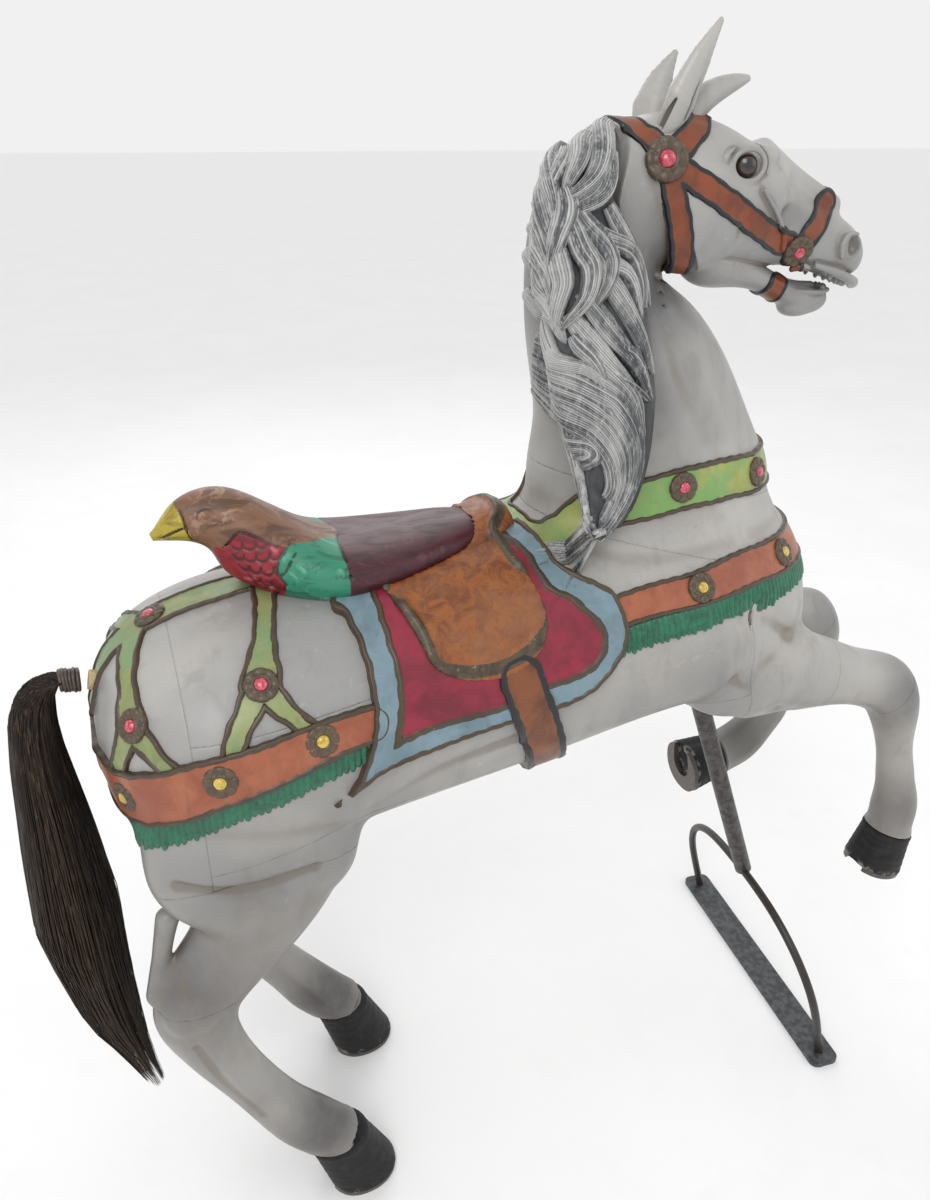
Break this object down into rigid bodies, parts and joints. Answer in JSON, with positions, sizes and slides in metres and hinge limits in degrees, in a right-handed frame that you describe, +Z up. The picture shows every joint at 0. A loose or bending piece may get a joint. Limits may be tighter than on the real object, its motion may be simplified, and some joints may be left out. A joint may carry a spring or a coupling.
{
  "type": "carousel horse on a stand",
  "caption": "Carved and painted jumping carousel horse with a bird-shaped cantle, carved mane and horsehair tail, propped on a steel pole, bow and bar stand.",
  "frame": {"origin": "on the floor, below the middle of the whole object's box", "axes": "+Z up, +X the way the horse faces, +Y to the horse's left"},
  "size_m": [1.1549, 0.41, 1.3447],
  "materials": {
    "body_paint": "aged satin off-white paint, warm grey in the shade and dark grey at the joints",
    "mane_paint": "carved locks, streaked grey, white and black paint",
    "saddle_paint": "mottled brown paint with an olive-brown rolled rim",
    "bird_paint": "brown head, red scales, green wing shoulder and maroon wings",
    "bare_wood": "bare wood, inside the joints",
    "eye_glass": "dark brown glass",
    "red_glass": "red domed stone",
    "yellow_glass": "yellow domed stone",
    "shoe_iron": "worn grey",
    "horsehair": "dark brown hair with lighter tips",
    "tail_cord": "waxed cord wrapped round the hair",
    "stand_steel": "dark brown paint",
    "bar_steel": "dark grey paint"
  },
  "bodies": {
    "horse": {"back_board": "body_paint", "base_bar": "bar_steel", "belly_board": "body_paint", "bird_cantle": "bird_paint", "chest_block": "body_paint", "forelock_block": "mane_paint", "head_block": "body_paint", "head_dowels": "bare_wood", "hip_dowels": "bare_wood", "knee_and_hock_dowels": "bare_wood", "left_ear": "body_paint", "left_eye": "eye_glass", "left_fore_lower": "body_paint", "left_fore_shoe": "shoe_iron", "left_fore_upper": "body_paint", "left_hind_lower": "body_paint", "left_hind_shoe": "shoe_iron", "left_hind_upper": "body_paint", "left_side_board": "body_paint", "mane_block": "mane_paint", "neck_base_block": "body_paint", "neck_dowels": "bare_wood", "neck_front_block": "body_paint", "neck_rear_block": "body_paint", "pole": "stand_steel", "red_jewels": "red_glass", "right_ear": "body_paint", "right_eye": "eye_glass", "right_fore_lower": "body_paint", "right_fore_shoe": "shoe_iron", "right_fore_upper": "body_paint", "right_hind_lower": "body_paint", "right_hind_shoe": "shoe_iron", "right_hind_upper": "body_paint", "right_side_board": "body_paint", "rump_block": "body_paint", "saddle": "saddle_paint", "shoulder_dowels": "bare_wood", "stand_bow": "stand_steel", "tail_peg": "bare_wood", "yellow_jewels": "yellow_glass"},
    "tail_root": {"tail_binding": "tail_cord"},
    "tail": {"tail_hair": "horsehair"}
  },
  "joints": [
    {"name": "tail_lift", "type": "hinge", "parent": "horse", "child": "tail_root", "pos_m": [-0.512, 0, 0.771], "axis": [0, 1, 0], "range_deg": [0, 30]},
    {"name": "tail_sway", "type": "hinge", "parent": "tail_root", "child": "tail", "pos_m": [-0.512, 0, 0.771], "axis": [1, 0, 0], "range_deg": [-15, 15]}
  ]
}
